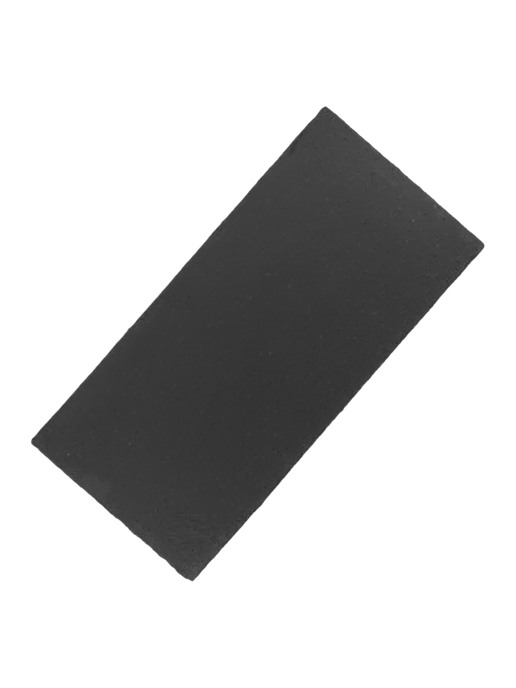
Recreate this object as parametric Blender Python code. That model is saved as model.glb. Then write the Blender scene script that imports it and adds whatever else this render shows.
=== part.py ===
"""Slate slab: one sheet of dark slate, split along its bedding and trimmed by hand to a rectangle.

The stone is a single solid, the node slate_slab. It lies on its flat split underside, with +X along
its length, +Y across it and +Z up, and the origin is the middle of the underside. Its make-up:
  - an outline that is nearly straight but ragged, with the teeth and hollows of hand trimming;
  - dressed edges: a row of scalloped spalls slopes from the top face out and down to the outline;
  - broken corners, each knocked off by its own amount;
  - ledges: thin leaves of slate that came away from the top face along its rim.
All sizes are in metres.
"""

import math

import bmesh
import bpy
import numpy as np

# Driving dimensions of the sheet
LENGTH = 0.3800
WIDTH_LEFT = 0.1821  # across the end at -X
WIDTH_RIGHT = 0.1808  # across the end at +X, where the sheet is a little narrower
THICKNESS = 0.0060

# Trimming: how far the outline wanders, and how the spalls along its rim are shaped
COLUMNS_LONG = 156  # steps of the outline along each long side
COLUMNS_END = 76  # steps of the outline along each end
HEART_INSET = 0.0070  # the edge's columns point at a rectangle this far inside the trimmed lines
FAN = 0.0400  # stretch at each end of a side over which they turn from square to diagonal
RAGGED_CELL = 0.0065  # spacing of the small teeth of the outline
RAGGED_REACH = 0.00016  # how far they stand out or in
SPALL_SPACING = 0.0080
SPALL_HALF_LENGTH = (0.0042, 0.0085)
SPALL_BITE = (0.0013, 0.0031)  # how far a spall reaches in over the top face
LEAST_BITE = 0.0006
FOOT_HEIGHT = (0.34, 0.62)  # height of the widest line of the edge, as a share of the thickness
FOOT_CELL = 0.0140  # distance along the edge over which that height changes
UNDERCUT = (0.0002, 0.0009)  # how far the underside stays inside the widest line
UNDERCUT_CELL = 0.0090
CREST = (0.30, 0.80)  # how far in a spall's slope is at its bend, as a share of its bite
CREST_CELL = 0.0050
BEND_BELOW = (0.35, 0.45)  # bend below the widest line: (share of the undercut, share of the height)
BEND_ABOVE = 0.66  # height of the bend above it, as a share of what is left up to the top face
SPALL_SEED = 11
EDGE_SEED = 23

# Corner breaks, as (length lost along X, length lost along Y)
CORNERS = {
    "front_left": (0.0018, 0.0062),
    "front_right": (0.0027, 0.0027),
    "back_right": (0.0058, 0.0018),
    "back_left": (0.0026, 0.0026),
}
CORNER_POINTS = 13  # points along a break: an odd number, so that one stands in its middle

# Proud and shy stretches of the trimmed outline: (place along the side, half length, reach).
# Front is the long side at -Y and back the one at +Y, placed by X. The ends are placed by Y.
STRETCHES = {
    "front": [
        (0.1865, 0.0035, 0.00044), (0.1830, 0.0070, 0.00074), (0.1770, 0.0090, 0.00058),
        (0.1660, 0.0080, 0.00030), (0.1560, 0.0100, 0.00046), (0.1370, 0.0130, -0.00008),
        (0.1355, 0.0030, 0.00016), (0.1215, 0.0040, 0.00016), (0.1170, 0.0140, 0.00034),
        (0.1010, 0.0030, 0.00034), (0.0830, 0.0040, -0.00024), (0.0510, 0.0040, 0.00016),
        (0.0400, 0.0030, 0.00034), (0.0300, 0.0800, -0.00006), (0.0045, 0.0032, 0.00026),
        (-0.0305, 0.0030, 0.00018), (-0.0510, 0.0080, 0.00028), (-0.0630, 0.0120, 0.00022),
        (-0.0960, 0.0340, 0.00064), (-0.1000, 0.0070, 0.00046), (-0.1190, 0.0050, 0.00020),
        (-0.1270, 0.0080, 0.00046), (-0.1400, 0.0120, 0.00020), (-0.1720, 0.0055, 0.00044),
        (-0.1720, 0.0190, -0.00058), (-0.1895, 0.0100, -0.00096),
    ],
    "right": [
        (0.0840, 0.0100, -0.00020), (0.0770, 0.0035, 0.00024), (0.0695, 0.0030, 0.00022),
        (0.0640, 0.0030, 0.00020), (0.0520, 0.0040, -0.00012), (0.0440, 0.0080, 0.00012),
        (0.0410, 0.0034, 0.00028), (0.0135, 0.0026, 0.00034), (0.0080, 0.0050, 0.00058),
        (-0.0030, 0.0050, -0.00014), (-0.0280, 0.0150, 0.00018), (-0.0350, 0.0070, -0.00026),
        (-0.0530, 0.0040, -0.00014), (-0.0660, 0.0280, -0.00026), (-0.0840, 0.0090, -0.00018),
    ],
    "back": [
        (0.1780, 0.0110, -0.00040), (0.1610, 0.0040, 0.00014), (0.1580, 0.0180, 0.00030),
        (0.1375, 0.0060, 0.00014), (0.1190, 0.0040, 0.00016), (0.1140, 0.0030, 0.00012),
        (0.1065, 0.0052, 0.00028), (0.0780, 0.0180, 0.00016), (0.0580, 0.0040, 0.00042),
        (0.0470, 0.0125, 0.00054), (0.0118, 0.0050, 0.00024), (-0.0290, 0.0300, -0.00020),
        (-0.0620, 0.0030, 0.00040), (-0.0705, 0.0110, -0.00020), (-0.1050, 0.0300, -0.00020),
        (-0.1200, 0.0120, 0.00012), (-0.1580, 0.0060, 0.00016), (-0.1670, 0.0040, 0.00020),
        (-0.1740, 0.0200, 0.00052), (-0.1855, 0.0032, 0.00070), (-0.1900, 0.0030, -0.00050),
    ],
    "left": [
        (0.0840, 0.0100, -0.00064), (0.0440, 0.0160, 0.00014), (0.0200, 0.0080, -0.00028),
        (0.0105, 0.0040, 0.00010), (0.0005, 0.0100, 0.00050), (-0.0065, 0.0035, 0.00024),
        (-0.0120, 0.0040, -0.00016), (-0.0250, 0.0072, 0.00086), (-0.0345, 0.0050, -0.00016),
        (-0.0420, 0.0060, -0.00018), (-0.0550, 0.0040, 0.00028), (-0.0610, 0.0050, -0.00044),
        (-0.0675, 0.0035, 0.00030), (-0.0770, 0.0065, 0.00066), (-0.0825, 0.0040, 0.00044),
        (-0.0886, 0.0056, -0.00110),
    ],
}

# Ledges where leaves came away: (centre x, centre y, reach along X, reach along Y, depth, wobble).
# The wobble is the phase of the waves of the broken line round the ledge.
LEDGES = [
    (0.1880, 0.0120, 0.0120, 0.0165, 0.00034, 0.4),
    (0.1890, -0.0170, 0.0085, 0.0130, 0.00024, 1.9),
    (0.1890, -0.0640, 0.0080, 0.0150, 0.00026, 5.1),
    (0.1480, 0.0905, 0.0150, 0.0062, 0.00052, 2.6),
    (0.0460, 0.0905, 0.0160, 0.0060, 0.00026, 4.0),
    (-0.0400, 0.0905, 0.0150, 0.0090, 0.00032, 0.9),
    (-0.1870, 0.0235, 0.0150, 0.0140, 0.00036, 3.3),
    (-0.1890, -0.0350, 0.0085, 0.0150, 0.00024, 5.6),
    (-0.1850, -0.0880, 0.0150, 0.0110, 0.00044, 1.2),
    (-0.1400, -0.0905, 0.0150, 0.0085, 0.00036, 2.2),
    (-0.1125, -0.0905, 0.0068, 0.0072, 0.00028, 4.7),
    (0.0700, -0.0905, 0.0080, 0.0062, 0.00030, 0.1),
]
LEDGE_TILT = 0.025  # slope of a ledge's floor, falling away from the middle of the sheet
LEDGE_SIDES = 22
RIM_SHARE = 0.45  # a ledge further out than this share of the length or the width breaks out that way
WAVES = ((3, 0.11), (5, 0.07), (8, 0.035))  # (waves round a ledge, share of its reach)

SLATE_COLOUR = (0.045, 0.045, 0.046, 1.0)
SLATE_ROUGHNESS = 0.62


def clear_scene():
    for obj in list(bpy.data.objects):
        bpy.data.objects.remove(obj, do_unlink=True)


def slate_material():
    material = bpy.data.materials.new("slate")
    material.use_nodes = True
    shader = material.node_tree.nodes["Principled BSDF"]
    shader.inputs["Base Color"].default_value = SLATE_COLOUR
    shader.inputs["Roughness"].default_value = SLATE_ROUGHNESS
    shader.inputs["Metallic"].default_value = 0.0
    return material


def ring_noise(distance, around, cell, seed):
    """Smooth noise from -1 to 1 along a closed line: cubic steps between random heights a cell apart."""
    count = max(4, round(around / cell))
    heights = np.random.default_rng(seed).uniform(-1, 1, count)
    place = distance / around * count
    low = np.floor(place).astype(int)
    step = place - low
    step = step * step * (3 - 2 * step)
    return heights[low % count] * (1 - step) + heights[(low + 1) % count] * step


def half_width(x):
    """Half the width of the untrimmed sheet at x: a straight taper between the two ends."""
    return (WIDTH_LEFT + (WIDTH_RIGHT - WIDTH_LEFT) * (x / LENGTH + 0.5)) / 2


def corner_break(name):
    """Quarter ellipse of one broken corner, from its own middle both ways: (first half, second half)."""
    sign_x = -1 if name.endswith("left") else 1
    sign_y = -1 if name.startswith("front") else 1
    lost_x, lost_y = CORNERS[name]
    edge_y = half_width(sign_x * LENGTH / 2)
    centre = np.array([sign_x * (LENGTH / 2 - lost_x), sign_y * (edge_y - lost_y)])
    turn = {(-1, -1): 180, (1, -1): 270, (1, 1): 0, (-1, 1): 90}[sign_x, sign_y]
    angle = np.radians(turn + np.linspace(0, 90, CORNER_POINTS))
    arc = centre + np.stack([lost_x * np.cos(angle), lost_y * np.sin(angle)], axis=1)
    middle = CORNER_POINTS // 2
    return arc[: middle + 1], arc[middle:]


def heart_corner(name):
    """Corner of the inner rectangle that the edge's columns point at."""
    sign_x = -1 if name.endswith("left") else 1
    sign_y = -1 if name.startswith("front") else 1
    x = sign_x * (LENGTH / 2 - HEART_INSET)
    return np.array([x, sign_y * (half_width(x) - HEART_INSET)])


def columns_between(start, end, count):
    """The columns of one side, from its first corner up to its last: (feet on the outline, ends inside).

    Inside they are even. On the outline they stand square to the side, and over the last FAN of it they
    lean out by the square of the distance, until the outermost runs through the middle of the corner.
    """
    inner_start, inner_end = heart_corner(start), heart_corner(end)
    inner_length = np.linalg.norm(inner_end - inner_start)
    inner = np.linspace(0, inner_length, count + 1)[:-1]
    lean = np.clip(1 - inner / FAN, 0, 1) ** 2 - np.clip(1 - (inner_length - inner) / FAN, 0, 1) ** 2
    outer = HEART_INSET + inner - HEART_INSET * lean
    line = np.concatenate([corner_break(start)[1], corner_break(end)[0]])
    run = np.concatenate([[0], np.cumsum(np.linalg.norm(np.diff(line, axis=0), axis=1))])
    outer *= run[-1] / (inner_length + 2 * HEART_INSET)
    feet = np.stack([np.interp(outer, run, line[:, k]) for k in (0, 1)], axis=1)
    return feet, inner_start + (inner_end - inner_start) * inner[:, None] / inner_length


def stretch_reach(side, place):
    """Sum of the side's proud and shy stretches at a place along it: each is one raised cosine."""
    reach = np.zeros_like(place)
    for middle, half_length, height in STRETCHES[side]:
        share = np.clip(np.abs(place - middle) / half_length, 0, 1)
        reach += height * (0.5 + 0.5 * np.cos(math.pi * share))
    return reach


def trimmed_outline():
    """The widest line of the edge, anticlockwise, with its box centred on the origin.

    It comes as its points, their inward directions, their distances along it and its whole length.
    """
    sides = (
        ("front", "front_left", "front_right", COLUMNS_LONG, 0),
        ("right", "front_right", "back_right", COLUMNS_END, 1),
        ("back", "back_right", "back_left", COLUMNS_LONG, 0),
        ("left", "back_left", "front_left", COLUMNS_END, 1),
    )
    feet, ends, reach = [], [], []
    for side, start, end, columns, along in sides:
        side_feet, side_ends = columns_between(start, end, columns)
        feet.append(side_feet)
        ends.append(side_ends)
        reach.append(stretch_reach(side, side_feet[:, along]))
    feet, ends, reach = np.concatenate(feet), np.concatenate(ends), np.concatenate(reach)
    inwards = (ends - feet) / np.linalg.norm(ends - feet, axis=1, keepdims=True)
    steps = np.linalg.norm(np.roll(feet, -1, axis=0) - feet, axis=1)
    distance = np.concatenate([[0], np.cumsum(steps)[:-1]])
    around = steps.sum()
    reach += RAGGED_REACH * ring_noise(distance, around, RAGGED_CELL, EDGE_SEED)
    outline = feet - inwards * reach[:, None]
    outline -= (outline.min(axis=0) + outline.max(axis=0)) / 2
    return outline, inwards, distance, around


def spall_bite(distance, around):
    """How far the spalls reach in over the top face: at each point, the deepest half ellipse there."""
    chance = np.random.default_rng(SPALL_SEED)
    count = round(around / SPALL_SPACING)
    middle = (np.arange(count) + chance.uniform(0.1, 0.9, count)) * around / count
    half_length = chance.uniform(*SPALL_HALF_LENGTH, count)
    bite = chance.uniform(*SPALL_BITE, count)
    gap = np.abs(distance[:, None] - middle)
    gap = np.minimum(gap, around - gap) / half_length
    return np.maximum(LEAST_BITE, (bite * np.sqrt(np.clip(1 - gap**2, 0, 1))).max(axis=1))


def wandering(distance, around, limits, cell, seed):
    """A value that drifts between two limits along a closed line."""
    low, high = limits
    return low + (high - low) * (0.5 + 0.5 * ring_noise(distance, around, cell, seed))


def edge_loops():
    """The closed lines that the solid is skinned over, from the underside up to the top face."""
    outline, inwards, distance, around = trimmed_outline()
    bite = spall_bite(distance, around)
    foot = THICKNESS * wandering(distance, around, FOOT_HEIGHT, FOOT_CELL, EDGE_SEED + 1)
    undercut = wandering(distance, around, UNDERCUT, UNDERCUT_CELL, EDGE_SEED + 2)
    crest = wandering(distance, around, CREST, CREST_CELL, EDGE_SEED + 3)
    rise = THICKNESS - foot
    profile = (
        (undercut, 0 * foot),
        (BEND_BELOW[0] * undercut, BEND_BELOW[1] * foot),
        (0 * foot, foot),
        (bite * crest, foot + BEND_ABOVE * rise),
        (bite, foot + rise),
    )
    loops = []
    for inset, height in profile:
        flat = outline + inwards * inset[:, None]
        loops.append(np.column_stack([flat, height]))
    return loops


def skinned_solid(name, loops):
    """A closed mesh over the loops: quads between the columns, one flat face on top and one below."""
    mesh = bmesh.new()
    rows = [[mesh.verts.new(point) for point in loop] for loop in loops]
    columns = len(rows[0])
    for lower, upper in zip(rows, rows[1:]):
        for k in range(columns):
            after = (k + 1) % columns
            mesh.faces.new((lower[k], lower[after], upper[after], upper[k]))
    mesh.faces.new(rows[-1])
    mesh.faces.new(rows[0][::-1])
    return linked_object(name, mesh)


def linked_object(name, mesh):
    data = bpy.data.meshes.new(name)
    mesh.normal_update()
    mesh.to_mesh(data)
    mesh.free()
    obj = bpy.data.objects.new(name, data)
    bpy.context.scene.collection.objects.link(obj)
    return obj


def ledge_cutter(number, ledge):
    """The space of one lost leaf: a wavy ellipse over the rim.

    Its floor falls outwards from the middle of the sheet, and it reaches up into the free air.
    """
    centre_x, centre_y, reach_x, reach_y, depth, wobble = ledge
    outwards = np.array([centre_x / LENGTH, centre_y / WIDTH_LEFT])
    outwards = np.where(np.abs(outwards) > RIM_SHARE, np.sign(outwards), 0)
    mesh = bmesh.new()
    floor = []
    for k in range(LEDGE_SIDES):
        angle = 2 * math.pi * k / LEDGE_SIDES
        wave = 1 + sum(share * math.sin(n * angle + n * wobble) for n, share in WAVES)
        offset = np.array([reach_x * math.cos(angle), reach_y * math.sin(angle)]) * wave
        fall = depth + LEDGE_TILT * (offset @ outwards + max(reach_x, reach_y) / 2)
        place = (centre_x + offset[0], centre_y + offset[1], THICKNESS - max(fall, depth / 2))
        floor.append(mesh.verts.new(place))
    base = mesh.faces.new(floor[::-1])
    raised = bmesh.ops.extrude_face_region(mesh, geom=[base])
    for vertex in [v for v in raised["geom"] if isinstance(v, bmesh.types.BMVert)]:
        vertex.co.z = 2 * THICKNESS
    bmesh.ops.recalc_face_normals(mesh, faces=mesh.faces)
    cutter = linked_object(f"ledge_cutter_{number}", mesh)
    cutter.hide_render = True
    cutter.display_type = "WIRE"
    return cutter


def build_slab():
    slab = skinned_solid("slate_slab", edge_loops())
    for number, ledge in enumerate(LEDGES, start=1):
        cut = slab.modifiers.new(f"ledge_{number}", "BOOLEAN")
        cut.operation = "DIFFERENCE"
        cut.solver = "EXACT"
        cut.object = ledge_cutter(number, ledge)
    slab.data.materials.append(slate_material())
    return slab


clear_scene()
build_slab()
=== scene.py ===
"""Slate slab: one sheet of dark split slate with hand-trimmed edges, lying on a pale table.

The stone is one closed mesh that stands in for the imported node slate_slab. Its size, its outline and its
larger breaks are those of that node, and the riven relief, the leaves of the edge and the finish are added.
Everything is in metres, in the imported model's own frame: +X along the slab, +Y across it and +Z up.
"""

import math

import bpy
import numpy as np
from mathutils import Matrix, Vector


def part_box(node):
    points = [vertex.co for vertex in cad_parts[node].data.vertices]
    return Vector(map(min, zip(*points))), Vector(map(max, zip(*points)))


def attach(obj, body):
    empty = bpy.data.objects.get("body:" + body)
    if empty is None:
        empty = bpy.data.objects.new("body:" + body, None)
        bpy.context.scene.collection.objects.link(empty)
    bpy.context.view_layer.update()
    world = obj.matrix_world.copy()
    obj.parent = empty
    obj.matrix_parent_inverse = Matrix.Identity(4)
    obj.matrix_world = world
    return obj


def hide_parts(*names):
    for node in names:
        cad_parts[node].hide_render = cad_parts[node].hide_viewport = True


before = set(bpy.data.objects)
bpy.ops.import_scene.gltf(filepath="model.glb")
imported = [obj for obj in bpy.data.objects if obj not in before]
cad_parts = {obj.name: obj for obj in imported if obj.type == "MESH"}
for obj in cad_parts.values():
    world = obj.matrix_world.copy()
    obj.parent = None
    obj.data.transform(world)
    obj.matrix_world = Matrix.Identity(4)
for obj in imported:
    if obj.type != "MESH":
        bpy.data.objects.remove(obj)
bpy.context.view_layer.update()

# ----------------------
# The slate slab: its trimmed outline
# One sheet of slate, cut to a rectangle from its underside with a dressing knife, blow by blow. So its
# long line is nearly straight but ragged, with small teeth, longer hollows and a different break at each
# corner. Here the outline is a closed row of columns, each with a foot on the outline and an aim inside.

MM = 0.001
STONE_LOW, STONE_HIGH = (np.array(corner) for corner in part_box("slate_slab"))
THICKNESS = STONE_HIGH[2] - STONE_LOW[2]
LENGTH = 380 * MM
WIDTH_LEFT = 182.1 * MM  # across the end at -X
WIDTH_RIGHT = 180.8 * MM  # across the end at +X
GRID_LONG = 304  # cells of the middle of the top face along the slab
GRID_ACROSS = 140
HEART_INSET = 7 * MM  # the middle of each face is a rectangle this far inside the trimmed lines
FAN = 40 * MM  # stretch at each end of a side over which the columns turn from square to diagonal
RAGGED_CELL = 6.5 * MM
RAGGED_REACH = 0.16 * MM
TOOTH_CELL = 1.9 * MM
# How far the finest teeth stand out, by side
TOOTH_REACH = {"front": 0.16 * MM, "right": 0.15 * MM, "back": 0.11 * MM, "left": 0.18 * MM}
EDGE_SEED = 23
CORNER_POINTS = 13  # points along a corner's break: an odd number, so that one stands in its middle

# Corner breaks, as (length lost along X, length lost along Y)
CORNERS = {
    "front_left": (1.8 * MM, 6.2 * MM),
    "front_right": (2.7 * MM, 2.7 * MM),
    "back_right": (5.8 * MM, 1.8 * MM),
    "back_left": (2.6 * MM, 2.6 * MM),
}

# Proud and shy stretches of the outline, in millimetres: (place along the side, half length, reach).
# Front is the long side at -Y and back the one at +Y, placed by X. The ends are placed by Y.
STRETCHES = {
    "front": (
        (186.5, 3.5, 0.44), (183, 7, 0.74), (177, 9, 0.58), (166, 8, 0.3), (156, 10, 0.46),
        (137, 13, -0.08), (135.5, 3, 0.16), (121.5, 4, 0.16), (117, 14, 0.34), (101, 3, 0.34),
        (83, 4, -0.24), (51, 4, 0.16), (40, 3, 0.34), (30, 80, -0.06), (4.5, 3.2, 0.26), (-30.5, 3, 0.18),
        (-51, 8, 0.28), (-63, 12, 0.22), (-96, 34, 0.64), (-100, 7, 0.46), (-119, 5, 0.2),
        (-127, 8, 0.46), (-140, 12, 0.2), (-172, 5.5, 0.44), (-172, 19, -0.58), (-189.5, 10, -0.96),
    ),
    "right": (
        (84, 10, -0.2), (77, 3.5, 0.24), (69.5, 3, 0.22), (64, 3, 0.2), (52, 4, -0.12), (44, 8, 0.12),
        (41, 3.4, 0.28), (13.5, 2.6, 0.34), (8, 5, 0.58), (-3, 5, -0.14), (-28, 15, 0.18),
        (-35, 7, -0.26), (-53, 4, -0.14), (-66, 28, -0.26), (-84, 9, -0.18),
    ),
    "back": (
        (178, 11, -0.4), (161, 4, 0.14), (158, 18, 0.3), (137.5, 6, 0.14), (119, 4, 0.16), (114, 3, 0.12),
        (106.5, 5.2, 0.28), (78, 18, 0.16), (58, 4, 0.42), (47, 12.5, 0.54), (11.8, 5, 0.24),
        (-29, 30, -0.2), (-62, 3, 0.4), (-70.5, 11, -0.2), (-105, 30, -0.2), (-120, 12, 0.12),
        (-158, 6, 0.16), (-167, 4, 0.2), (-174, 20, 0.52), (-185.5, 3.2, 0.7), (-190, 3, -0.5),
    ),
    "left": (
        (84, 10, -0.64), (44, 16, 0.14), (20, 8, -0.28), (10.5, 4, 0.1), (0.5, 10, 0.5),
        (-6.5, 3.5, 0.24), (-12, 4, -0.16), (-25, 7.2, 0.86), (-34.5, 5, -0.16), (-42, 6, -0.18),
        (-55, 4, 0.28), (-61, 5, -0.44), (-67.5, 3.5, 0.3), (-77, 6.5, 0.66), (-82.5, 4, 0.44),
        (-88.6, 5.6, -1.1),
    ),
}


def ring_noise(distance, around, cell, seed):
    """Smooth noise from -1 to 1 along a closed line of length around.

    Random heights stand a cell apart, and the step 3t^2 - 2t^3 joins each to the next.
    """
    count = max(4, round(around / cell))
    heights = np.random.default_rng(seed).uniform(-1, 1, count)
    place = distance / around * count
    low = np.floor(place).astype(int)
    step = place - low
    step = step * step * (3 - 2 * step)
    return heights[low % count] * (1 - step) + heights[(low + 1) % count] * step


def half_width(x):
    """Half the width between the trimmed lines at x: a straight taper from one end to the other."""
    return (WIDTH_LEFT + (WIDTH_RIGHT - WIDTH_LEFT) * (x / LENGTH + 0.5)) / 2


def corner_signs(name):
    """Signs of a corner's x and y."""
    return (-1 if name.endswith("left") else 1), (-1 if name.startswith("front") else 1)


def corner_break(name):
    """Quarter ellipse of one broken corner, from its own middle both ways: (first half, second half)."""
    sign_x, sign_y = corner_signs(name)
    lost_x, lost_y = CORNERS[name]
    edge_y = half_width(sign_x * LENGTH / 2)
    centre = np.array([sign_x * (LENGTH / 2 - lost_x), sign_y * (edge_y - lost_y)])
    turn = {(-1, -1): 180, (1, -1): 270, (1, 1): 0, (-1, 1): 90}[sign_x, sign_y]
    angle = np.radians(turn + np.linspace(0, 90, CORNER_POINTS))
    arc = centre + np.stack([lost_x * np.cos(angle), lost_y * np.sin(angle)], axis=1)
    middle = CORNER_POINTS // 2
    return arc[: middle + 1], arc[middle:]


def heart_corner(name):
    """Corner of the middle rectangle."""
    sign_x, sign_y = corner_signs(name)
    x = sign_x * (LENGTH / 2 - HEART_INSET)
    return np.array([x, sign_y * (half_width(x) - HEART_INSET)])


def columns_between(start, end, count):
    """The columns of one side, from its first corner up to its last: (feet on the outline, ends inside).

    Inside they are even. On the outline they stand square to the side, and over the last FAN of it they
    lean out by the square of the distance, until the outermost runs through the middle of the corner.
    """
    inner_start, inner_end = heart_corner(start), heart_corner(end)
    inner_length = np.linalg.norm(inner_end - inner_start)
    inner = np.linspace(0, inner_length, count + 1)[:-1]
    lean = np.clip(1 - inner / FAN, 0, 1) ** 2 - np.clip(1 - (inner_length - inner) / FAN, 0, 1) ** 2
    outer = HEART_INSET + inner - HEART_INSET * lean
    line = np.concatenate([corner_break(start)[1], corner_break(end)[0]])
    run = np.concatenate([[0], np.cumsum(np.linalg.norm(np.diff(line, axis=0), axis=1))])
    outer *= run[-1] / (inner_length + 2 * HEART_INSET)
    feet = np.stack([np.interp(outer, run, line[:, k]) for k in (0, 1)], axis=1)
    return feet, inner_start + (inner_end - inner_start) * inner[:, None] / inner_length


def stretch_reach(side, place):
    """Sum of a side's proud and shy stretches at a place along it, each height * (1 + cos(pi * t)) / 2."""
    reach = np.zeros_like(place)
    for middle, half_length, height in STRETCHES[side]:
        share = np.clip(np.abs(place - middle * MM) / (half_length * MM), 0, 1)
        reach += height * MM * (0.5 + 0.5 * np.cos(math.pi * share))
    return reach


def trimmed_outline():
    """The columns of the edge, anticlockwise from the front left corner.

    It returns their feet on the widest line of the edge, their ends inside, the unit directions inwards,
    the distance of each along the line and the line's length.
    """
    sides = (
        ("front", "front_left", "front_right", 2 * GRID_LONG, 0),
        ("right", "front_right", "back_right", 2 * GRID_ACROSS, 1),
        ("back", "back_right", "back_left", 2 * GRID_LONG, 0),
        ("left", "back_left", "front_left", 2 * GRID_ACROSS, 1),
    )
    parts = []
    for side, start, end, columns, along in sides:
        feet, ends = columns_between(start, end, columns)
        reach = stretch_reach(side, feet[:, along])
        parts.append((feet, ends, reach, np.full(columns, TOOTH_REACH[side])))
    feet, ends, reach, teeth = (np.concatenate(rows) for rows in zip(*parts))
    inwards = (ends - feet) / np.linalg.norm(ends - feet, axis=1, keepdims=True)
    steps = np.linalg.norm(np.roll(feet, -1, axis=0) - feet, axis=1)
    distance = np.concatenate([[0], np.cumsum(steps)[:-1]])
    around = steps.sum()
    reach += RAGGED_REACH * ring_noise(distance, around, RAGGED_CELL, EDGE_SEED)
    reach += teeth * ring_noise(distance, around, TOOTH_CELL, EDGE_SEED + 10)
    return feet - inwards * reach[:, None], ends, inwards, distance, around


# ----------------------
# The slate slab: its split faces
# Slate splits along its bedding, so both faces are riven: nearly flat, with long swells, fine grain and
# low steps where a leaf ends. Leaves also came away in ledges along the rim, and pecks mark the top.
# Depths are measured down from the highest plane of the face, so the stone stays in its own box.

# (depth, cell along X, cell along Y, seed): swells of the face, from the longest to the grain
SWELLS = (
    (0.15 * MM, 130 * MM, 75 * MM, 41),
    (0.06 * MM, 42 * MM, 20 * MM, 42),
    (0.035 * MM, 13 * MM, 6.5 * MM, 43),
    (0.016 * MM, 5 * MM, 3.1 * MM, 44),
)
SWELL_NET = 128  # nodes each way of the random net, after which it repeats
# (level of the leaf field where a leaf ends, thickness of the leaf)
LEAF_LEVELS = ((-0.42, 0.09 * MM), (-0.12, 0.11 * MM), (0.16, 0.08 * MM), (0.45, 0.12 * MM))
LEAF_SLOPE = 0.028  # how far the field is from that level where the slope of a leaf's end begins
LEAF_SEED = 61
# Thin leaves broken off along the rim: (mean reach in, wander, length of the wander, thickness, seed)
RIM_LEAVES = (
    (1.2 * MM, 2.4 * MM, 11 * MM, 0.12 * MM, 71),
    (0.4 * MM, 4.6 * MM, 24 * MM, 0.11 * MM, 72),
    (-1.5 * MM, 7.5 * MM, 46 * MM, 0.10 * MM, 73),
)
RIM_LEAF_SLOPE = 0.35 * MM
# Ledges, in millimetres: (centre x, centre y, reach along X, reach along Y, depth, wobble, share of
# crumbs, paleness of the fresh stone). The wobble is the phase of the waves of the line round a ledge.
LEDGES = (
    (188, 11.5, 12, 16.5, 0.34, 0.4, 0.1, 0.1), (189, -16.5, 10, 13.5, 0.24, 1.9, 0.1, 0.12),
    (190, -43.5, 8.5, 9.5, 0.2, 3.6, 0.15, 0.5), (190, -72.5, 9.5, 12.5, 0.26, 5.1, 0.2, 0.7),
    (189, -89, 7, 6, 0.3, 2.2, 0.8, 0.9), (186, 90, 8, 6, 0.3, 0.7, 0.6, 0),
    (46, 90.5, 16, 6, 0.26, 4, 0.25, 0.15), (-40, 90.5, 15, 9, 0.32, 0.9, 0.25, 0.05),
    (-180, 90, 12, 7, 0.22, 1.5, 0.15, 0), (-187, 23.5, 15, 14, 0.36, 3.3, 0.12, 0.6),
    (-190, 46, 8, 13, 0.22, 2.9, 0.35, 0.5), (-190, 2, 6.5, 9, 0.26, 4.4, 0.8, 0.25),
    (-189, -35, 8.5, 15, 0.24, 5.6, 0.4, 0.45), (-187, -87, 16, 11, 0.44, 1.2, 0.95, 0.8),
    (-140, -90.5, 16, 9, 0.36, 2.2, 0.75, 0.35), (-112.5, -90.5, 6.8, 7.2, 0.28, 4.7, 0.5, 0.35),
    (70, -90.5, 8, 6.2, 0.3, 0.1, 0.6, 0.15), (86, -90.5, 7, 5.4, 0.24, 2.4, 0.8, 0.15),
    (103, -90.5, 8, 5, 0.22, 3.1, 0.4, 0.25), (145, -90.5, 8, 6.4, 0.26, 5, 0.7, 0.15),
    (167, -90.5, 9.5, 5.2, 0.24, 1.1, 0.5, 0.25),
)
LEDGE_TILT = 0.025  # slope of a ledge's floor, falling away from the middle of the sheet
LEDGE_EDGE = 1.6  # half the width of the slope round a ledge, in millimetres
LEDGE_WAVES = ((3, 0.11), (5, 0.07), (8, 0.035))  # (waves round a ledge, share of its reach)
LEDGE_SEED = 91
RIM_SHARE = 0.45  # a ledge further out than this share of the length or the width breaks out that way
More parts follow.
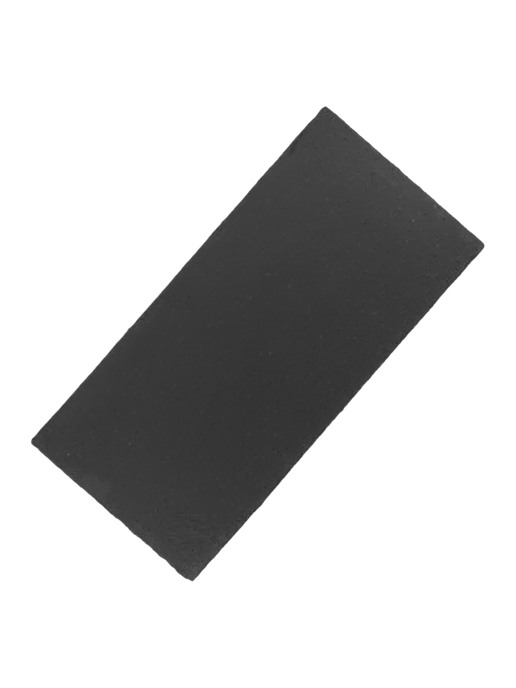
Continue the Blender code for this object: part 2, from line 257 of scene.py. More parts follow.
# Pecks of the top face, in millimetres: (x, y, half length, half width, angle in degrees, depth, paleness)
PECKS = (
    (165, -30, 1.3, 1.1, 10, 0.1, 1), (187, 64, 2.2, 1.4, 90, 0.12, -0.8),
    (187.5, 16.6, 1.5, 1, 90, 0.14, -0.9), (186, -37, 1.2, 1, 0, 0.08, 0.7),
    (184, -43.5, 1.4, 1, 30, 0.06, 0.6), (0.8, -12.8, 1.5, 1.1, 35, 0.1, 0.7),
    (-4, -7, 3.2, 1, 52, 0.06, 0.35), (-39, -23.2, 2.4, 1, 80, 0.09, 0.55),
    (-44, -46, 2.6, 1.1, -60, 0.08, 0.5), (125.8, 26.5, 2, 1.1, 40, 0.12, 0.7),
    (140, 21.5, 2.4, 1.5, 0, 0.14, -0.5), (137.5, -0.5, 2.6, 1.4, 70, 0.12, -0.3),
    (136.5, 1.5, 1.4, 1, 0, 0.06, 0.6), (166, 16.5, 3.4, 1.1, 12, 0.1, -0.4),
    (158, 18.5, 2.2, 1, 15, 0.08, 0.5), (95.5, 73, 3.8, 1.2, 60, 0.1, 0.45),
    (102, 78, 2.2, 1, 50, 0.08, 0.4), (105, 34, 2.6, 1.1, 70, 0.1, 0.5),
    (90.5, 5.6, 3, 1.6, 20, 0.12, 0.4), (85, 8.5, 2.2, 1.3, 10, 0.12, -0.45),
    (54.5, 12.2, 4.6, 1, 8, 0.08, 0.5), (51.5, -12.6, 3.6, 1, 12, 0.07, 0.45),
    (43, -17, 3, 1, 30, 0.07, -0.3), (39.5, -35.8, 3.4, 1.2, 5, 0.1, 0.6),
    (25.2, -37.6, 1.6, 1.1, 25, 0.09, 0.6), (70, -45.5, 1.8, 1.4, 0, 0.08, 0.5),
    (71, -84.5, 4.6, 1, 44, 0.08, 0.4), (24.9, 30.6, 1.4, 1.2, 0, 0.08, 0.6),
    (6.5, -58, 4.2, 1.3, 15, 0.12, -0.55), (10.5, -50, 2, 1, 10, 0.08, 0.4),
    (-22, 62.5, 2.2, 1, 0, 0.08, 0.5), (-32, 59.5, 4.2, 1.1, 18, 0.1, 0.45),
    (-84, 63, 3, 1, 70, 0.1, 0.6), (-85.5, 57.5, 2.2, 1, 15, 0.08, 0.45),
    (-56, -78.5, 3.6, 1.4, 30, 0.12, 0.6), (-58, -73, 2.4, 1.2, 50, 0.1, -0.4),
    (-79, 20, 4.4, 1, -38, 0.07, -0.35), (-104, 32, 6.5, 1, -36, 0.06, 0.25),
    (-100, 27, 6, 1, -36, 0.06, -0.22), (-122, 54.5, 3.4, 1.4, 55, 0.12, -0.45),
    (-124.5, 48.5, 1.8, 1.1, 40, 0.1, -0.4), (-134.5, 26.8, 1.5, 1.1, 30, 0.08, 0.7),
    (-126, -23.5, 1.8, 1.2, 20, 0.08, 0.5), (-150.5, -28.4, 2.6, 1.5, 60, 0.12, -0.5),
    (-176, 59.6, 2.2, 1.1, 10, 0.08, 0.5), (-176.9, 81.5, 3.6, 2.8, 40, 0.1, -0.3),
    (-179.7, 58.8, 3.4, 2.6, 40, 0.1, -0.3), (161, -60.5, 3.2, 1.5, -20, 0.1, 0.4),
    # The last two pecks are painted dark too: painted shadow of the notch at the far back corner.
    (144.3, 86.5, 11, 3.2, 19, 0.22, -0.35), (156.3, 88.5, 5, 1.2, 8, 0.3, -0.7),
)
LOOSE_PECKS = 190  # small pecks scattered by chance
PECK_INSET = 6 * MM  # how far they stay inside the trimmed lines
PECK_SEED = 83
PECK_CONTRAST = 2.2
RIM_DUST = 0.30
RIM_DUST_WIDTH = 4 * MM
RIM_DUST_FADE = 9 * MM
FRONT_PAINTED_LIGHT = 1.2  # painted light on the front edge, which the soft boxes leave in shade, over its pale broken stone
FRONT_PAINTED_LIGHT_FADE = 2.4 * MM
# Stretches paler or darker, in millimetres: (x, y, reach along X, reach along Y, paleness). The broad ones
# are painted sheen and painted shade over the slab, and the small ones along the rim are paler and darker
# patches of the stone.
PAINTED_SHEEN_SHADE_AND_PATCHES = (
    (190, -25, 62, 95, 0.34), (165, 30, 50, 50, 0.16), (-150, 96, 105, 45, 0.42),
    (-178, -80, 52, 48, 0.2), (-15, -18, 195, 84, -0.25), (-172, -90, 50, 13, 0.9),
    (-176, 84, 22, 15, -0.22), (-72, 93, 48, 22, 0.42), (-12, 92, 34, 22, -0.22), (165, 96, 62, 40, -0.3),
    (-56, 93, 14, 16, 0.3), (0, 92, 9, 8, 0.45), (85, 96, 60, 24, -0.26), (172, 93, 26, 14, -0.3),
    (190, 64, 30, 36, -0.2), (-190, 86, 13, 9, 0.55), (-190, -54, 9, 18, 0.32), (-60, -88, 12, 15, 0.6),
    (12, -90, 10, 8, 0.6), (72, -90, 10, 9, 0.35), (144, -90, 12, 7, 0.3),
)
RIM_BROKEN = 0.9  # share of broken stone on the trimmed lines
RIM_BROKEN_FADE = 2.6 * MM
RIM_BROKEN_SEED = 93
# (height, cell along X, cell along Y, seed): swells of the underside
UNDER_SWELLS = (
    (0.16 * MM, 95 * MM, 60 * MM, 52),
    (0.07 * MM, 26 * MM, 15 * MM, 53),
    (0.03 * MM, 8 * MM, 5 * MM, 54),
)
UNDER_LEAF = 0.10 * MM
UNDER_LEAF_LEVELS = ((-0.24, -0.16), (0.22, 0.30))
UNDER_LEAF_SEED = 55


def smooth_step(low, high, value):
    """0 below low, 1 above high and 3t^2 - 2t^3 between them."""
    share = np.clip((value - low) / (high - low), 0, 1)
    return share * share * (3 - 2 * share)


def swell(x, y, cell_x, cell_y, seed):
    """Gradient noise, about -1 to 1, over a net of cells.

    Each node of the net has a slope in a random direction. The planes of the four nodes round a point are
    mixed both ways by the step s = 6t^5 - 15t^4 + 10t^3, and 1.4 stretches the sum to that range.
    """
    turn = np.random.default_rng(seed).uniform(0, 2 * math.pi, (SWELL_NET, SWELL_NET))
    u, v = x / cell_x, y / cell_y
    i, j = np.floor(u).astype(int), np.floor(v).astype(int)
    s, t = u - i, v - j

    def plane(step_x, step_y):
        angle = turn[(i + step_x) % SWELL_NET, (j + step_y) % SWELL_NET]
        return np.cos(angle) * (s - step_x) + np.sin(angle) * (t - step_y)

    ease_s = s**3 * (s * (6 * s - 15) + 10)
    ease_t = t**3 * (t * (6 * t - 15) + 10)
    near = plane(0, 0) * (1 - ease_s) + plane(1, 0) * ease_s
    far = plane(0, 1) * (1 - ease_s) + plane(1, 1) * ease_s
    return 1.4 * (near * (1 - ease_t) + far * ease_t)


def rim_distance(x, y):
    """Distance in from the nearest trimmed line."""
    return np.minimum(LENGTH / 2 - np.abs(x), half_width(x) - np.abs(y))


def leaf_steps(x, y):
    """Depth of the low steps between leaves: smooth steps across the level lines of one noise field."""
    field = swell(x, y, 88 * MM, 46 * MM, LEAF_SEED)
    field += 0.34 * swell(x, y, 23 * MM, 13 * MM, LEAF_SEED + 1)
    field += 0.13 * swell(x, y, 6.5 * MM, 4.2 * MM, LEAF_SEED + 2)
    steps = (
        thick * smooth_step(level - LEAF_SLOPE, level + LEAF_SLOPE, field) for level, thick in LEAF_LEVELS
    )
    return sum(steps)


def rim_leaves(x, y):
    """(depth, share broken) of the thin leaves lost along the rim: each ends on a wandering line."""
    depth, broken = np.zeros_like(x), np.zeros_like(x)
    for mean, wander, length, thick, seed in RIM_LEAVES:
        reach = mean + wander * swell(x, y, length, 0.7 * length, seed)
        reach += 0.22 * wander * swell(x, y, 4.1 * MM, 3.3 * MM, seed + 10)
        gone = smooth_step(-RIM_LEAF_SLOPE, RIM_LEAF_SLOPE, reach - rim_distance(x, y))
        depth += thick * gone
        broken += gone / len(RIM_LEAVES)
    return depth, broken


def ledges(x, y):
    """(depth, share broken, paleness) of the ledges: wavy ellipses with a floor that falls outwards.

    Crumbs lie along the broken line, where gone * (1 - gone) is largest, and on the floor.
    """
    depth, broken, fresh = np.zeros_like(x), np.zeros_like(x), np.zeros_like(x)
    patchy = 1 + 0.5 * swell(x, y, 12 * MM, 9 * MM, LEDGE_SEED + 3)
    for centre_x, centre_y, reach_x, reach_y, thick, wobble, crumbs, paleness in LEDGES:
        across_x, across_y = x - centre_x * MM, y - centre_y * MM
        angle = np.arctan2(across_y / reach_y, across_x / reach_x)
        wave = 1 + sum(share * np.sin(n * angle + n * wobble) for n, share in LEDGE_WAVES)
        wave += 0.14 * swell(x, y, 7.5 * MM, 6 * MM, LEDGE_SEED)
        wave += 0.08 * swell(x, y, 3.1 * MM, 2.6 * MM, LEDGE_SEED + 1)
        out = np.hypot(across_x / reach_x, across_y / reach_y) / MM / wave
        outwards = np.array([centre_x * MM / LENGTH, centre_y * MM / WIDTH_LEFT])
        outwards = np.where(np.abs(outwards) > RIM_SHARE, np.sign(outwards), 0)
        fall = across_x * outwards[0] + across_y * outwards[1] + max(reach_x, reach_y) * MM / 2
        floor = np.maximum(thick * MM + LEDGE_TILT * fall, thick * MM / 2)
        soft = LEDGE_EDGE / min(reach_x, reach_y)
        gone = 1 - smooth_step(1 - soft, 1 + soft, out)
        depth = np.maximum(depth, floor * gone)
        fresh = np.maximum(fresh, paleness * patchy * (1 - smooth_step(0.55, 1.2, out)))
        broken = np.maximum(broken, (0.4 + 2.6 * crumbs) * gone * (1 - gone) + crumbs * gone)
    return depth, broken, fresh


def peck_marks(x, y):
    """(depth, paleness) of the pecks: each is a turned oval bowl, depth * (1 - r^2)^2."""
    chance = np.random.default_rng(PECK_SEED)
    half_x, half_y = LENGTH / 2 - PECK_INSET, WIDTH_RIGHT / 2 - PECK_INSET
    loose = np.column_stack([
        chance.uniform(-half_x, half_x, LOOSE_PECKS) / MM,
        chance.uniform(-half_y, half_y, LOOSE_PECKS) / MM,
        chance.uniform(1.1, 3.4, LOOSE_PECKS),
        chance.uniform(0.9, 1.3, LOOSE_PECKS),
        chance.normal(8, 26, LOOSE_PECKS),
        chance.uniform(0.02, 0.07, LOOSE_PECKS),
        chance.uniform(-0.35, 0.45, LOOSE_PECKS),
    ])
    depth, pale = np.zeros_like(x), np.zeros_like(x)
    for place_x, place_y, length, width, degrees, deep, paleness in (*PECKS, *loose):
        turn = math.radians(degrees)
        across_x, across_y = x / MM - place_x, y / MM - place_y
        along = (across_x * math.cos(turn) + across_y * math.sin(turn)) / length
        beside = (across_y * math.cos(turn) - across_x * math.sin(turn)) / width
        bowl = np.clip(1 - along**2 - beside**2, 0, 1) ** 2
        depth += deep * MM * bowl
        pale += PECK_CONTRAST * paleness * bowl
    return depth, pale


def rim_dust_and_painted_light(x, y):
    """Paleness from trimming dust, with painted light and painted shade.

    Dust fades inwards by exp(-d / fade) all round, and the painted light along the front fades the same
    way.
    Each stretch of painted sheen or shade, or patch, is an oval bowl, height * (1 - r^2)^2.
    """
    dust = RIM_DUST * np.exp(-np.maximum(rim_distance(x, y) - RIM_DUST_WIDTH, 0) / RIM_DUST_FADE)
    # Painted light along the front edge, fading inwards.
    dust += FRONT_PAINTED_LIGHT * np.exp(-np.maximum(half_width(x) + y, 0) / FRONT_PAINTED_LIGHT_FADE)
    # Painted sheen and painted shade over the slab, and small patches along the rim.
    for place_x, place_y, reach_x, reach_y, height in PAINTED_SHEEN_SHADE_AND_PATCHES:
        radius = np.hypot((x / MM - place_x) / reach_x, (y / MM - place_y) / reach_y)
        dust += height * np.clip(1 - radius**2, 0, 1) ** 2
    return dust


def top_face(x, y):
    """Height of the top face at (x, y), with its share broken and its paleness."""
    depth = sum(deep * (0.5 + 0.5 * swell(x, y, *net)) for deep, *net in SWELLS)
    rim_depth, rim_broken = rim_leaves(x, y)
    ledge_depth, ledge_broken, ledge_fresh = ledges(x, y)
    peck_depth, paleness = peck_marks(x, y)
    depth = depth + leaf_steps(x, y) + rim_depth + ledge_depth + peck_depth
    fade = RIM_BROKEN_FADE * (1.0 + 0.9 * swell(x, y, 9 * MM, 9 * MM, RIM_BROKEN_SEED))
    crumbled = RIM_BROKEN * np.exp(-((np.maximum(rim_distance(x, y), 0) / fade) ** 2))
    broken = np.clip(0.4 * rim_broken + ledge_broken + crumbled, 0, 1)
    return THICKNESS - depth, broken, paleness + rim_dust_and_painted_light(x, y) + ledge_fresh


def underside(x, y):
    """Height of the underside: swells and two leaf steps, with the lowest parts flat on the table."""
    height = sum(rise * swell(x, y, *net) for rise, *net in UNDER_SWELLS)
    field = swell(x, y, 100 * MM, 58 * MM, UNDER_LEAF_SEED)
    field += 0.3 * swell(x, y, 21 * MM, 12 * MM, UNDER_LEAF_SEED + 1)
    height += UNDER_LEAF * sum(smooth_step(low, high, field) for low, high in UNDER_LEAF_LEVELS)
    return np.maximum(height, 0)


# ----------------------
# The slate slab: its dressed edge
# Trimming leaves shell-shaped spalls that slope from the top face out and down to the widest line of the
# edge, and under it the stone is cut back a little. Each column of the edge is a profile of five knots
# from the underside to the crest, and the steps of the broken leaves and the nicks are added to it.

SPALL_SPACING = 8 * MM
SPALL_HALF_LENGTH = (4.2 * MM, 8.5 * MM)
SPALL_BITE = (1.3 * MM, 3.1 * MM)  # how far a spall reaches in over the top face
LEAST_BITE = 0.6 * MM
SPALL_SEED = 11
FOOT_HEIGHT = (0.34, 0.62)  # height of the widest line, as a share of the thickness
FOOT_CELL = 14 * MM  # distance along the edge over which that height changes
UNDERCUT = (0.2 * MM, 0.9 * MM)  # how far the underside stays inside the widest line
UNDERCUT_CELL = 9 * MM
CREST = (0.30, 0.80)  # how far in a spall's slope is at its bend, as a share of its bite
CREST_CELL = 5 * MM
BEND_BELOW = (0.35, 0.45)  # bend below the widest line: (share of the undercut, share of the height)
BEND_ABOVE = 0.66  # height of the bend above it, as a share of what is left up to the top face
ROWS_BETWEEN_KNOTS = (2, 3, 4, 4)
EDGE_LEAF = 0.62 * MM  # thickness of the leaves that show in the broken edge
EDGE_LEAF_REACH = 0.30 * MM
EDGE_LEAF_SEED = 101
EDGE_GRIT_REACH = 0.12 * MM
# Shares of the height over which leaves and grit fade out: at the underside, the crest and the widest line
FADE_UNDER, FADE_CREST, FADE_FOOT = 0.10, 0.07, 0.16
NICK_CELLS = (1.5 * MM, 3.7 * MM)
NICK_REACH = 0.30 * MM
NICKED_BITE = 0.35 * MM  # what the nicks leave of a bite at least
RIM_ROWS = (0.10, 0.24, 0.40, 0.58, 0.78)  # rows of the top face between the crest and its middle


def spall_bite(distance, around):
    """How far the spalls reach in over the top face: at each point, the deepest half ellipse there."""
    chance = np.random.default_rng(SPALL_SEED)
    count = round(around / SPALL_SPACING)
    middle = (np.arange(count) + chance.uniform(0.1, 0.9, count)) * around / count
    half_length = chance.uniform(*SPALL_HALF_LENGTH, count)
    bite = chance.uniform(*SPALL_BITE, count)
    gap = np.abs(distance[:, None] - middle)
    gap = np.minimum(gap, around - gap) / half_length
    return np.maximum(LEAST_BITE, (bite * np.sqrt(np.clip(1 - gap**2, 0, 1))).max(axis=1))


def wandering(distance, around, limits, cell, seed):
    """A value that drifts between two limits along a closed line."""
    low, high = limits
    return low + (high - low) * (0.5 + 0.5 * ring_noise(distance, around, cell, seed))


def leaf_ends(distance, around, height, foot):
    """How far in the leaves of the edge end at a height, a share of the thickness.

    Each leaf has its own noise along the edge, and grit is added. Both fade out at the underside, at the
    widest line and at the crest.
    """
    fade = smooth_step(0.0, FADE_UNDER, height) * (1 - smooth_step(1 - FADE_CREST, 1.0, height))
    fade *= smooth_step(0.0, FADE_FOOT, np.abs(height - foot))
    leaf = height * THICKNESS / EDGE_LEAF + 0.9 * ring_noise(distance, around, 17 * MM, EDGE_LEAF_SEED)
    leaf = np.floor(leaf).astype(int)
    end = swell(distance, leaf * 7.3, 4.3 * MM, 1.0, EDGE_LEAF_SEED + 1)
    end += 0.5 * swell(distance, leaf * 5.7, 1.7 * MM, 1.0, EDGE_LEAF_SEED + 2)
    grit = swell(distance, height * THICKNESS, 1.5 * MM, 0.9 * MM, EDGE_LEAF_SEED + 3)
    return fade * np.maximum(0, EDGE_LEAF_REACH * (0.55 + 0.6 * end) + EDGE_GRIT_REACH * grit)


def edge_rows(feet, inwards, distance, around):
    """The rows of the edge from the underside up to the crest, each an array of points (x, y, z).

    A row's inset and height are mixed from the two knots of the profile that it lies between, and the
    ends of the leaves are added to its inset.
    """
    nick = sum(ring_noise(distance, around, cell, EDGE_SEED + 4 + k) for k, cell in enumerate(NICK_CELLS))
    bite = np.maximum(NICKED_BITE, spall_bite(distance, around) + 0.5 * NICK_REACH * nick)
    foot = wandering(distance, around, FOOT_HEIGHT, FOOT_CELL, EDGE_SEED + 1)
    undercut = wandering(distance, around, UNDERCUT, UNDERCUT_CELL, EDGE_SEED + 2)
    crest = wandering(distance, around, CREST, CREST_CELL, EDGE_SEED + 3)
    rise = 1 - foot
    knots = (
        (undercut, 0 * foot),
        (BEND_BELOW[0] * undercut, BEND_BELOW[1] * foot),
        (0 * foot, foot),
        (bite * crest, foot + BEND_ABOVE * rise),
        (bite, foot + rise),
    )
    crest_plan = feet + inwards * bite[:, None]
    crest_height = top_face(*crest_plan.T)[0]
    rows = []
    for (inset, height), (next_inset, next_height), count in zip(knots, knots[1:], ROWS_BETWEEN_KNOTS):
        for share in np.arange(count) / count:
            row_height = height + (next_height - height) * share
            row_inset = inset + (next_inset - inset) * share
            row_inset = row_inset + leaf_ends(distance, around, row_height, foot)
            plan = feet + inwards * row_inset[:, None]
            rows.append(np.column_stack([plan, row_height * crest_height]))
    rows.append(np.column_stack([crest_plan, crest_height]))
    return rows


# ----------------------
# The slate slab: the closed stone
# The middle of each face is a rectangular net. Rows of columns run from it over the rim, down the edge
# and back under the stone, and where a row has twice the columns of the next, five-sided faces join them.
# Each vertex also says how far its stone is freshly broken and how pale it is: bruises and dust, with
# painted light and painted shade.

UNDER_RING_INSET = 3.4 * MM  # the underside's last row lies this far inside the widest line
CREST_BROKEN = 0.75
PAINTED_EDGE_SHADE = 0.3  # painted shade: the edge below the crest is painted darker than the faces
UNDERSIDE_BROKEN = 0.12
SHARP_ANGLE = math.radians(34)
MAP_SIDE = 400 * MM  # length of stone across the bake's map
MAP_TOP_Y = 0.745  # the top face lies with the edge folded out round it in the upper half of the map
MAP_UNDER_Y = 0.245


def heart_net(cells_long, cells_across):
    """Places of a net over the middle rectangle: x and y, each (cells_long + 1, cells_across + 1)."""
    shares_long, shares_across = np.linspace(-1, 1, cells_long + 1), np.linspace(-1, 1, cells_across + 1)
    along, across = np.meshgrid(shares_long, shares_across, indexing="ij")
    x = along * (LENGTH / 2 - HEART_INSET)
    return x, across * (half_width(x) - HEART_INSET)


def net_rim(numbers):
    """The vertices round a net, anticlockwise from its front left corner."""
    return np.concatenate([numbers[:-1, 0], numbers[-1, :-1], numbers[:0:-1, -1], numbers[0, :0:-1]])


def net_faces(numbers):
    """The net's cells as quads."""
    corners = (numbers[:-1, :-1], numbers[1:, :-1], numbers[1:, 1:], numbers[:-1, 1:])
    return np.stack([corner.ravel() for corner in corners], axis=1)


def band_faces(lower, upper):
    """Faces between two closed rows: quads, or five-sided if the lower has twice the vertices."""
    if len(lower) == len(upper):
        return np.stack([lower, np.roll(lower, -1), np.roll(upper, -1), upper], axis=1)
    starts = lower[::2]
    return np.stack([starts, lower[1::2], np.roll(starts, -1), np.roll(upper, -1), upper], axis=1)


class Vertices:
    """The stone's vertices as they are made: place, share broken, paleness, place on the bake's map."""

    def __init__(self):
        self.rows = []
        self.count = 0

    def add(self, x, y, z, broken=0.0, pale=0.0, map_x=None, map_y=None):
        """Adds the vertices of whole arrays, and returns their numbers in the shape of x."""
        columns = (x, y, z, broken, pale, x if map_x is None else map_x, y if map_y is None else map_y)
        columns = [np.broadcast_to(column, x.shape).ravel() for column in columns]
        self.rows.append(np.stack(columns, axis=1))
        first, self.count = self.count, self.count + x.size
        return np.arange(first, self.count).reshape(x.shape)


def build_stone():
    """The whole stone: (table of vertices, faces of the top and the edge, faces of the underside)."""
    feet, ends, inwards, distance, around = trimmed_outline()
    made = Vertices()
    top_x, top_y = heart_net(GRID_LONG, GRID_ACROSS)
    top_net = made.add(top_x, top_y, *top_face(top_x, top_y))
    low_x, low_y = heart_net(GRID_LONG // 2, GRID_ACROSS // 2)
    low_net = made.add(low_x, low_y, underside(low_x, low_y), UNDERSIDE_BROKEN)
    ring_x, ring_y = (feet + inwards * UNDER_RING_INSET)[::2].T
    ring = made.add(ring_x, ring_y, underside(ring_x, ring_y), UNDERSIDE_BROKEN)

    edge = edge_rows(feet, inwards, distance, around)
    edge[0][:, 2] = underside(*edge[0][:, :2].T)
    crest_plan = edge[-1][:, :2]
    steps = [np.linalg.norm(above - below, axis=1).mean() for below, above in zip(edge, edge[1:])]
    folded_out = np.cumsum([0, *steps[::-1]])[::-1]  # how far each row lies outside the crest on the map
    edge_numbers = []
    for row, outside in zip(edge, folded_out):
        map_x, map_y = (crest_plan - inwards * outside).T
        broken = CREST_BROKEN if row is edge[-1] else 1.0
        # Below the crest the edge gets painted shade: its paleness drops by a fixed step.
        pale = rim_dust_and_painted_light(*row[:, :2].T) - (0.0 if row is edge[-1] else PAINTED_EDGE_SHADE)
        edge_numbers.append(made.add(*row.T, broken, pale, map_x, map_y))
    rim_numbers = []
    for share in RIM_ROWS:
        x, y = (crest_plan + (ends - crest_plan) * share).T
        rim_numbers.append(made.add(x, y, *top_face(x, y)))

    upward = [*edge_numbers, *rim_numbers]
    over = [net_faces(top_net), band_faces(rim_numbers[-1], net_rim(top_net))]
    over += [band_faces(lower, upper) for lower, upper in zip(upward, upward[1:])]
    under = [
        net_faces(low_net)[:, ::-1],
        band_faces(ring, net_rim(low_net))[:, ::-1],
        band_faces(edge_numbers[0], ring)[:, ::-1],
    ]
    return np.concatenate(made.rows), over, under


def fitted_to_node(points):
    """The points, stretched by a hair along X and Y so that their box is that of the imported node."""
    low, high = points.min(axis=0), points.max(axis=0)
    stretch = (STONE_HIGH - STONE_LOW) / (high - low)
    fitted = STONE_LOW + (points - low) * stretch
    fitted[:, 2] = points[:, 2]
    return fitted


def in_scene(name, data):
    """A new object of this data, linked into the scene."""
    made = bpy.data.objects.new(name, data)
    bpy.context.scene.collection.objects.link(made)
    return made


def stone_object():
    """The mesh object of the stone, with its shares as attributes and its own map for the bake."""
    table, over, under = build_stone()
    faces = over + under
    loops = np.concatenate([group.ravel() for group in faces])
    sizes = np.concatenate([np.full(len(group), group.shape[1]) for group in faces])
    mesh = bpy.data.meshes.new("riven_slate")
    mesh.vertices.add(len(table))
    mesh.vertices.foreach_set("co", fitted_to_node(table[:, :3]).ravel())
    mesh.loops.add(len(loops))
    mesh.loops.foreach_set("vertex_index", loops)
    mesh.polygons.add(len(sizes))
    mesh.polygons.foreach_set("loop_start", np.concatenate([[0], np.cumsum(sizes)[:-1]]))
    mesh.update(calc_edges=True)
    for column, name in ((3, "broken"), (4, "pale")):
        mesh.attributes.new(name, "FLOAT", "POINT").data.foreach_set("value", table[:, column])
    on_top = np.arange(len(loops)) < sum(group.size for group in over)
    map_x = np.where(on_top, table[loops, 5], -table[loops, 5]) / MAP_SIDE + 0.5
    map_y = table[loops, 6] / MAP_SIDE + np.where(on_top, MAP_TOP_Y, MAP_UNDER_Y)
    mesh.uv_layers.new(name="OFBake").uv.foreach_set("vector", np.column_stack([map_x, map_y]).ravel())
    mesh.polygons.foreach_set("use_smooth", np.ones(len(sizes), bool))
    mesh.set_sharp_from_angle(angle=SHARP_ANGLE)
    return in_scene("riven_slate", mesh)


# ----------------------
# The slate slab: its finish
# Bare stone, neither oiled nor honed: dark neutral grey, matt, with fine grain along the slab, strokes with
# painted highlight and painted shade, pale specks, pits with painted shade, and paler, rougher stone
# wherever it is freshly broken, where the leaves show.

DEEP_STONE = (0.004, 0.004, 0.0041, 1.0)
PALE_STONE = (0.212, 0.211, 0.209, 1.0)
FACE_PALENESS = 0.147  # where the split face lies between the two
MATT = 0.60  # roughness of the split face
SCORED_PLACE = (-0.159, -0.061, 0.006)  # middle of a patch of fine parallel scores
SCORED_TURN = -47
STROKE_WAVE = 2.2 * MM  # how far the strokes of the split face wave
# Bright mineral chips of the top face, in millimetres: (x, y, radius, strength)
CHIPS = (
    (164.8, -30.5, 1.3, 0.28), (184.1, -43.5, 1, 0.23), (186.1, -36.1, 1.3, 0.36), (-150, 57, 1.1, 0.12),
    (-134.5, 26.8, 1.1, 0.16), (24.9, 30.6, 1, 0.12), (39.5, -35.8, 1.2, 0.12), (0.8, -12.8, 1.1, 0.17),
    (-169.9, 84.3, 1, 0.18), (-168.7, 78.5, 0.9, 0.14), (-175.2, 59.5, 1.2, 0.34),
)
# Painted shadows of the notch at the far back corner, in millimetres: (x, y, half length, half width,
# degrees, strength)
PAINTED_NOTCH_SHADOWS = (
    (144.3, 86.5, 10.5, 3, 19, 0.042), (156.3, 88.5, 4.6, 0.9, 8, 0.085), (151.5, 88, 4, 1.2, 19, 0.075),
    (157.5, 87, 7, 3, 8, 0.03), (164.5, 89.2, 11, 1.1, 2, 0.13), (158, 90, 17, 1.4, 1, 0.13),
    (156.5, 88.2, 2.8, 0.9, 12, 0.1),
)


class Lead:
    """A socket of a node tree. Arithmetic on leads adds Math nodes, and add() makes any other node."""

    def __init__(self, tree, socket=None):
        self.tree = tree
        self.socket = socket

    def add(self, kind, settings, inputs, output=0):
        """A new node of this kind, with its settings and then its inputs set: the lead of an output."""
        node = self.tree.nodes.new(kind)
        for name, value in settings.items():
            setattr(node, name, value)
        for name, value in inputs.items():
            if isinstance(value, Lead):
                self.tree.links.new(value.socket, node.inputs[name])
            else:
                node.inputs[name].default_value = value
        return Lead(self.tree, node.outputs[output])

    def other(self, output):
        """The lead of another output of the same node."""
        return Lead(self.tree, self.socket.node.outputs[output])

    def maths(self, operation, *values):
        return self.add("ShaderNodeMath", {"operation": operation}, dict(enumerate(values)))

    def vector_maths(self, operation, *values, output=0):
        return self.add("ShaderNodeVectorMath", {"operation": operation}, dict(enumerate(values)), output)

    def __add__(self, other):
        return self.maths("ADD", self, other)

    def __sub__(self, other):
        return self.maths("SUBTRACT", self, other)

    def __rsub__(self, other):
        return self.maths("SUBTRACT", other, self)

    def __mul__(self, other):
        return self.maths("MULTIPLY", self, other)

    __radd__ = __add__
    __rmul__ = __mul__


def ramped(value, low, high):
    """0 below low and 1 above high with a smooth step between; a falling step where low is above high."""
    inputs = {"Value": value, "From Min": min(low, high), "From Max": max(low, high)}
    if low > high:
        inputs |= {"To Min": 1.0, "To Max": 0.0}
    return value.add("ShaderNodeMapRange", {"interpolation_type": "SMOOTHSTEP"}, inputs)


def noise(where, scale, detail, roughness=0.5, distortion=0.0):
    """Noise from 0 to 1: scale is its cells per metre, and detail the number of finer octaves."""
    inputs = dict(Vector=where, Scale=scale, Detail=detail, Roughness=roughness, Distortion=distortion)
    return where.add("ShaderNodeTexNoise", {}, inputs)


def turned(where, degrees, stretch, high=1.0):
    """Coordinates for a pattern turned about Z, and drawn out by stretch along its X and by high in Z."""
    inputs = {"Vector": where, "Rotation": (0, 0, math.radians(degrees)), "Scale": (stretch, 1.0, high)}
    return where.add("ShaderNodeMapping", {"vector_type": "TEXTURE"}, inputs)


def dots(where, cells_per_m, near, far):
    """(mask, random number of its cell) of round dots: 1 within near of a cell's point, 0 beyond far."""
    inputs = {"Vector": where, "Scale": cells_per_m}
    distance = where.add("ShaderNodeTexVoronoi", {}, inputs)
    chance = where.add("ShaderNodeSeparateColor", {}, {"Color": distance.other("Color")})
    return ramped(distance, far, near), chance


def strokes(where, cells_per_m, half_length, half_across, share, fewer):
    """(painted highlight side, painted shade side) of short strokes, at most one in a cell: sizes in
    millimetres.

    Each cell turns and bends its stroke by chance, and it has one only where its random number, raised by
    fewer, is below the share. Near the share the stroke is faint.
    """
    rough = noise(where, 700, 2).other("Color")
    wavy = where.vector_maths("MULTIPLY_ADD", rough, (STROKE_WAVE, STROKE_WAVE, 0), where)
    cell = where.add(
        "ShaderNodeTexVoronoi", {"voronoi_dimensions": "2D"}, {"Vector": wavy, "Scale": cells_per_m}
    )
    apart = wavy.vector_maths("SUBTRACT", wavy, cell.other("Position"))
    angle = where.add("ShaderNodeSeparateColor", {}, {"Color": cell.other("Color")})
    bend, chance = angle.other(1), angle.other(2)
    place = apart.add(
        "ShaderNodeVectorRotate", {"rotation_type": "Z_AXIS"}, {"Vector": apart, "Angle": math.pi * angle}
    )
    along = place.add("ShaderNodeSeparateXYZ", {}, {"Vector": place})
    across = along.other(1) * (1 / (half_across * MM))
    along = along * (1 / (half_length * MM))
    across = across + 3 * (bend - 0.5) * along * along
    kept = ramped(along * along, 1.0, 0.3) * ramped(chance + fewer, share, 0.25 * share)
    # Painted highlight on one side of the stroke and painted shade on the other.
    pale = kept * ramped(across, -1.0, -0.4) * ramped(across, 0.6, 0.0)
    dark = kept * ramped(across, 0.0, 0.6) * ramped(across, 2.0, 1.2)
    return pale, dark


def oval(where, x, y, half_length, half_across, degrees):
    """1 in the middle of a turned oval on the top face, 0 outside it: sizes and places in millimetres."""
    inputs = {
        "Vector": where,
        "Location": (x * MM, y * MM, THICKNESS),
        "Rotation": (0, 0, math.radians(degrees)),
        "Scale": (half_length * MM, half_across * MM, THICKNESS / 2),
    }
    place = where.add("ShaderNodeMapping", {"vector_type": "TEXTURE"}, inputs)
    return ramped(place.vector_maths("LENGTH", place, output=1), 1.0, 0.45)


